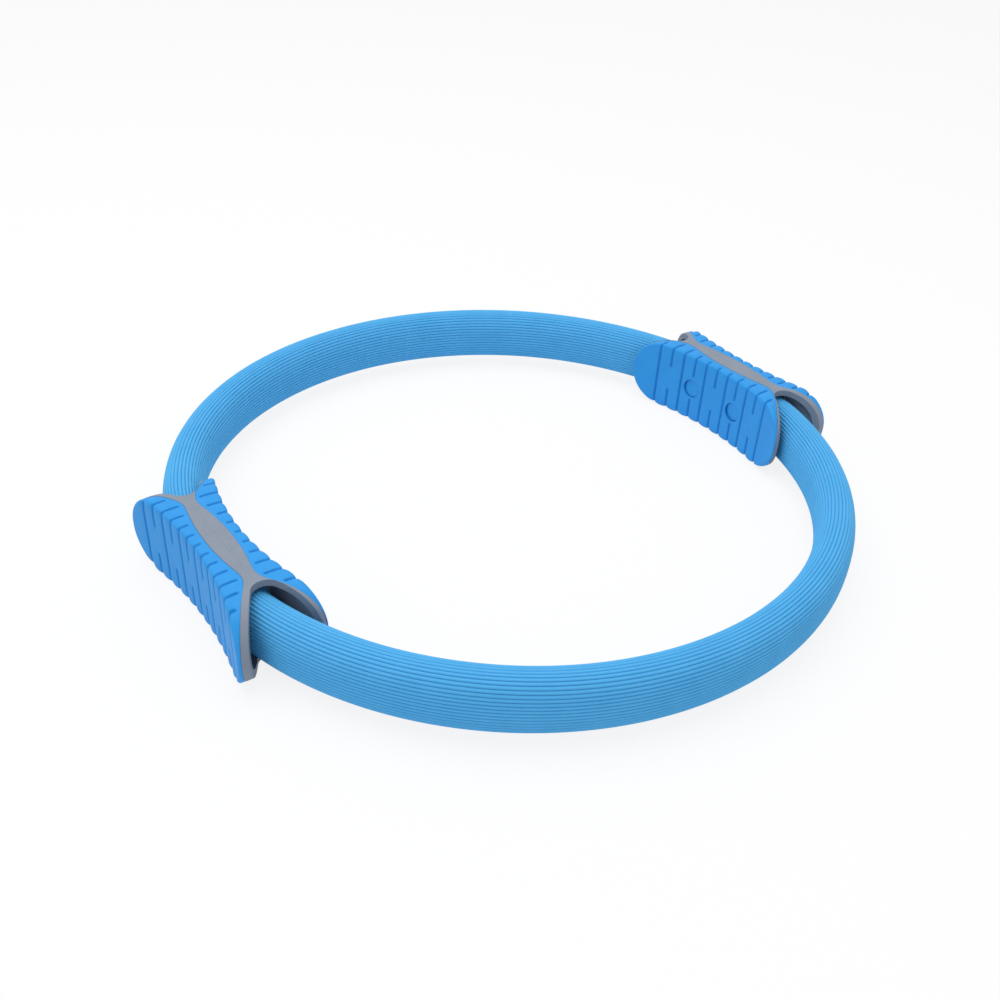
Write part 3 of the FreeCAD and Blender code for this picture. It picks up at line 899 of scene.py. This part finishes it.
def skin_normals(points):
    """Unit normals of a net of points, on the side that faces out."""
    along = np.gradient(points, axis=1)
    upward = np.gradient(points, axis=0)
    normals = np.cross(along, upward)
    normals /= np.linalg.norm(normals, axis=-1, keepdims=True)
    middle = normals[normals.shape[0] // 2, normals.shape[1] // 2]
    return normals * np.sign(middle[0])


print("grooves on the outer and the inner pad:", [2 * half.reach + 1 for half in both_halves])

# %% [markdown]
# ## Making a pad
# Columns crowd at the walls of the grooves and at the rounded ends. The skin is the net of rows
# and columns, sunk by the grooves. A coarser net makes the underside, and a skirt joins the two.

# %% Pad net
PAD_THICKNESS = 2.0 * MM
WALL_OFFSETS = np.array([0, 0.22, 0.38, 0.55, 0.72, 0.9, 1.15, 1.6, 2.3, 3.2]) * MM
END_COLUMN_COUNT = 26
SEAT_ROWS = 16
SAME_PLACE_DIGITS = 9


def pad_columns(half):
    """The places of a pad's columns, crowded at groove walls and rounded ends."""
    grooves = np.arange(-half.reach, half.reach + 1) * half.pitch
    offsets = np.concatenate([-WALL_OFFSETS[:0:-1], WALL_OFFSETS, [half.pitch / 2]])
    middle = np.unique(np.round((grooves[:, None] + offsets).ravel(), SAME_PLACE_DIGITS))
    middle = middle[np.abs(middle) <= grooves[-1] + WALL_OFFSETS[-1]]
    reach = last_column(half, 0) - end_start
    first_turn = math.asin((middle[-1] - end_start) / reach)
    turns = np.linspace(first_turn, math.pi / 2, END_COLUMN_COUNT + 1)[1:]
    ends = end_start + reach * np.sin(turns)
    return np.concatenate([-ends[::-1], middle, ends])


def pad_net(half):
    """Points, faces and groove shares of a pad in the handle's own frame."""
    y = pad_columns(half)
    upper, upper_run, fold_run = rows_along(column_lines(half, y, 0), SKIN_ROWS)
    upside_down = np.array([1, 1, -1])
    points = both_ways(upper, upside_down)
    run = both_ways(upper_run, 1)
    drop, groove = skin_drop(half, points, y, run, fold_run)
    skin = points - skin_normals(points) * drop[..., None]
    seat = PAD_THICKNESS - LAND_GAP
    seat_y = y * last_column(half, seat) / y[-1]
    underside = both_ways(rows_along(column_lines(half, seat_y, seat), SEAT_ROWS)[0], upside_down)
    rows, columns = run.shape
    seat_rows = len(underside)
    start = rows * columns
    faces = rows_of_quads(0, rows, columns, False) + rows_of_quads(start, seat_rows, columns, False)
    for row, seat_row in ((0, 0), (rows - 1, seat_rows - 1)):
        for column in range(columns - 1):
            above = row * columns + column
            below = start + seat_row * columns + column
            faces.append((above, above + 1, below + 1, below))
    for column in (0, columns - 1):
        edge = [row * columns + column for row in range(rows)]
        edge += [start + row * columns + column for row in reversed(range(seat_rows))]
        faces.append(edge)
    points = np.concatenate([skin.reshape(-1, 3), underside.reshape(-1, 3)])
    return points, faces, np.concatenate([groove.ravel(), np.zeros(underside.size // 3)])


def in_handle(points, side, inward):
    """Points of the handle's own frame at their place in the ring."""
    placed = points * np.array([-1 if inward else 1, 1, 1]) + np.array([handle_x, 0, middle_height])
    return placed * np.array([SIDES[side], SIDES[side], 1])


print("columns of the outer and the inner pad:", [len(pad_columns(half)) for half in both_halves])

# %% [markdown]
# ## Holes for the plugs
# The inner pad has two round holes for the plugs. The net's lines don't follow a circle, so a
# Boolean cuts the holes with a round bar. The walls of the holes are in shade like the grooves,
# so they get the same value on their points.

# %% Pads
PLUG_COLUMN = 2
PLUG_HOLE_RADIUS = 6.0 * MM
HOLE_SEGMENTS = 64
HOLE_TOLERANCE = 0.02 * MM
plug_y = PLUG_COLUMN * INNER_PITCH


def round_bar(place, side):
    """A round cutter along x through one plug's place."""
    bar = bmesh.new()
    bmesh.ops.create_cone(bar, cap_ends=True, segments=HOLE_SEGMENTS, radius1=PLUG_HOLE_RADIUS,
                          radius2=PLUG_HOLE_RADIUS, depth=2 * WAIST_HALF)
    mesh = bpy.data.meshes.new("plug_cutter")
    bar.to_mesh(mesh)
    bar.free()
    cutter = bpy.data.objects.new("plug_cutter", mesh)
    scene.collection.objects.link(cutter)
    centre = in_handle(np.array([[WAIST_HALF, place, 0]]), side, True)[0]
    cutter.matrix_world = Matrix.Translation(centre) @ Matrix.Rotation(math.pi / 2, 4, "Y")
    return cutter


def shade_hole_walls(mesh):
    """Gives the points of the holes' walls the grooves' value, and so the grooves' painted shade."""
    places = np.empty(3 * len(mesh.vertices))
    mesh.vertices.foreach_get("co", places)
    places = places.reshape(-1, 3)
    from_plug = np.hypot(np.abs(places[:, 1]) - plug_y, places[:, 2] - middle_height)
    values = np.empty(len(mesh.vertices))
    mesh.attributes["groove"].data.foreach_get("value", values)
    on_wall = np.abs(from_plug - PLUG_HOLE_RADIUS) < HOLE_TOLERANCE
    mesh.attributes["groove"].data.foreach_set("value", np.where(on_wall, 1.0, values))


def cut_plug_holes(pad, side):
    """Cuts the two round holes, and leaves the finished mesh on the pad."""
    cutters = [round_bar(place, side) for place in (-plug_y, plug_y)]
    for cutter in cutters:
        cut = pad.modifiers.new("plug_hole", "BOOLEAN")
        cut.object = cutter
        cut.solver = "EXACT"
    depsgraph = bpy.context.evaluated_depsgraph_get()
    mesh = bpy.data.meshes.new_from_object(pad.evaluated_get(depsgraph))
    pad.modifiers.clear()
    pad.data = mesh
    mesh.set_sharp_from_angle(angle=SHARP_EDGE)
    shade_hole_walls(mesh)
    for cutter in cutters:
        bpy.data.objects.remove(cutter)


def rubber_pad(side, place, half):
    """One pad on its handle, with plug holes where it is an inner one."""
    inward = half is inner_half
    points, faces, groove = pad_net(half)
    pad = new_piece(f"{side}_{place}_rubber", in_handle(points, side, inward), faces, pad_blue,
                    {"groove": groove})
    if inward:
        cut_plug_holes(pad, side)
    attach(pad, f"{side}_handle")
    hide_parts(f"{side}_{place}_pad")
    return pad


rubber_pads = [rubber_pad(side, place, half) for side in SIDES
               for place, half in (("outer", outer_half), ("inner", inner_half))]
print("pads with", [len(pad.data.polygons) for pad in rubber_pads], "faces")

# %% [markdown]
# ## The screw plugs
# Two round plugs close the screw holes in each inner pad. They sit below the pad's skin, and as
# they are pushed in by hand, each one is slightly askew. A plug is a lathe shape, a rounded disc
# on a short stem, so its rings all come from one profile.

# %% Screw plugs
PLUG_RADIUS = 5.8 * MM
PLUG_RECESS = 0.95 * MM
PLUG_ROUND = 0.4 * MM
PLUG_DISC = 0.95 * MM
PLUG_STEM_RADIUS = 3.6 * MM
PLUG_STEM_LENGTH = 1.8 * MM
PLUG_DISH = 0.12 * MM
PLUG_DISH_SHARES = (0.15, 0.4, 0.7, 0.9)
PLUG_SEGMENTS = 64
ROUND_STEPS = 6
PLUG_LEAN_SHARES = {1: (0.07, 0.03), -1: (0.05, -0.06)}


def plug_profile():
    """Radii and heights from the middle of the disc's top to the end of the stem."""
    flat = PLUG_RADIUS - PLUG_ROUND
    dish = [(share * flat, -PLUG_DISH * (1 - share ** 2)) for share in PLUG_DISH_SHARES]
    turns = [math.pi / 2 * step / ROUND_STEPS for step in range(ROUND_STEPS + 1)]
    rim = [(flat + PLUG_ROUND * math.sin(turn), PLUG_ROUND * (math.cos(turn) - 1)) for turn in turns]
    stem_end = -PLUG_DISC - PLUG_STEM_LENGTH
    stem = [(PLUG_STEM_RADIUS, -PLUG_DISC), (PLUG_STEM_RADIUS, stem_end)]
    return dish + rim + [(PLUG_RADIUS, -PLUG_DISC)] + stem


def plug_net(end):
    """A plug's points and faces in the handle's own frame, at one end or the other."""
    turn = math.asin(end * plug_y / inner_half.face_radius)
    lean_along, lean_up = PLUG_LEAN_SHARES[end]
    along = Vector((math.sin(turn), math.cos(turn), 0))
    square_out = Vector((math.cos(turn), -math.sin(turn), 0))
    upright = Vector((0, 0, 1))
    out = square_out + lean_along * along + lean_up * upright
    out.normalize()
    up = upright - out * out.z
    up.normalize()
    across = np.array(up.cross(out))
    centre = np.array([inner_half.face(end * plug_y, PLUG_RECESS), end * plug_y, 0])
    profile = plug_profile()
    spokes = np.linspace(0, 2 * math.pi, PLUG_SEGMENTS, endpoint=False)[:, None]
    circle = np.cos(spokes) * across + np.sin(spokes) * np.array(up)
    rings = [centre + circle * radius + np.array(out) * height for radius, height in profile]
    rows = len(profile)
    faces = rows_of_quads(0, rows, PLUG_SEGMENTS, True) + end_faces(rows, PLUG_SEGMENTS)
    return np.concatenate(rings), faces


def screw_plug(side, end):
    """One plug in its hole, named for the half of the ring that it is nearer to."""
    points, faces = plug_net(end)
    name = f"{side}_{'back' if end * SIDES[side] > 0 else 'front'}_plug"
    values = {"groove": np.zeros(len(points))}
    plug = new_piece(name, in_handle(points, side, True), faces, pad_blue, values)
    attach(plug, f"{side}_handle")
    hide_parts(f"{side}_screw_plugs")
    return plug


plugs = [screw_plug(side, end) for side in SIDES for end in PLUG_LEAN_SHARES]
print("plugs:", [plug.name for plug in plugs])

# %% [markdown]
# ## Finishes on the CAD nodes
# The shells, plates, screws and inserts are rigid, and their CAD shapes are right. So they stay as
# they are, and get the finishes made above in their own material slots.

# %% CAD nodes
NODE_FINISHES = {"outer_shell": grip_grey,
                 "inner_shell": grip_grey,
                 "splice_plate": plate_zinc,
                 "clamp_screws": screw_zinc,
                 "threaded_inserts": insert_brass}


def dress_node(name, finish):
    """Puts a finish on every material slot of a CAD node."""
    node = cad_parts[name]
    for material_slot in node.material_slots:
        material_slot.material = finish


for side in SIDES:
    for part, finish in NODE_FINISHES.items():
        dress_node(f"{side}_{part}", finish)
print("dressed", len(SIDES) * len(NODE_FINISHES), "CAD nodes")

# %% [markdown]
# ## Floor and light
# The ring lies on a pale floor in a white room. The world gives an even light from all round,
# and one large soft lamp overhead makes the tops brighter than the sides. Where the camera sees
# the floor, also in a reflection, it is drawn towards white and keeps a faint shadow under the
# ring. More light would whiten the floor too, but it would wash out the ring's colours.

# %% Floor and light
WHITE = (1, 1, 1, 1)
FLOOR_COLOUR = srgb(244, 244, 245)
FLOOR_SIDE = 12.0
FLOOR_DROP = 0.1 * MM
FLOOR_WHITE_SHARE = 0.85
WORLD_STRENGTH = 0.62
LAMP_SIDE = 1.5
LAMP_PLACE = Vector((-0.25, 0.15, 1.5))
LAMP_WATTS = 15.0


def seen_directly(start):
    """1 for rays that the camera sees, directly or by way of metal and glass."""
    rays = [start.node("ShaderNodeLightPath", {}, {}, name)
            for name in ("Is Camera Ray", "Is Glossy Ray", "Is Transmission Ray")]
    either = start.math("MAXIMUM", rays[0], rays[1])
    return start.math("MAXIMUM", either, rays[2])


def pale_floor():
    """A wide floor just below the ring, whiter to the camera than to the light."""
    mesh = bpy.data.meshes.new("floor")
    half = FLOOR_SIDE / 2
    corners = [(-half, -half, -FLOOR_DROP), (half, -half, -FLOOR_DROP),
               (half, half, -FLOOR_DROP), (-half, half, -FLOOR_DROP)]
    mesh.from_pydata(corners, [], [(0, 1, 2, 3)])
    floor = bpy.data.objects.new("floor", mesh)
    scene.collection.objects.link(floor)
    paint = Finish("pale_floor", Base_Color=FLOOR_COLOUR, Roughness=0.9, Specular_IOR_Level=0.1)
    white = paint.start.node("ShaderNodeEmission", {}, {"Color": WHITE, "Strength": 1.0})
    lit = Shade(paint.tree, paint.shader.outputs[0])
    factor = seen_directly(paint.start) * FLOOR_WHITE_SHARE
    mixed = paint.start.node("ShaderNodeMixShader", {}, {0: factor, 1: lit, 2: white})
    paint.start.feed(paint.tree.nodes["Material Output"].inputs["Surface"], mixed)
    mesh.materials.append(paint.material)


def white_room():
    """A world that lights the ring evenly, and that the camera sees as white."""
    world = bpy.data.worlds.new("white_room")
    world.use_nodes = True
    scene.world = world
    start = Shade(world.node_tree)
    light = start.node("ShaderNodeBackground", {}, {"Color": WHITE, "Strength": WORLD_STRENGTH})
    white = start.node("ShaderNodeBackground", {}, {"Color": WHITE, "Strength": 1.0})
    mixed = start.node("ShaderNodeMixShader", {}, {0: seen_directly(start), 1: light, 2: white})
    start.feed(world.node_tree.nodes["World Output"].inputs["Surface"], mixed)


def overhead_lamp():
    """A large soft lamp that points at the ring's middle."""
    data = bpy.data.lights.new("overhead", "AREA")
    data.size = LAMP_SIDE
    data.energy = LAMP_WATTS
    lamp = bpy.data.objects.new("overhead", data)
    aim = (-LAMP_PLACE).to_track_quat("-Z", "Y").to_matrix().to_4x4()
    lamp.matrix_world = Matrix.Translation(LAMP_PLACE) @ aim
    scene.collection.objects.link(lamp)


pale_floor()
white_room()
overhead_lamp()
scene.view_settings.view_transform = "Standard"
print("floor, room and lamp ready")
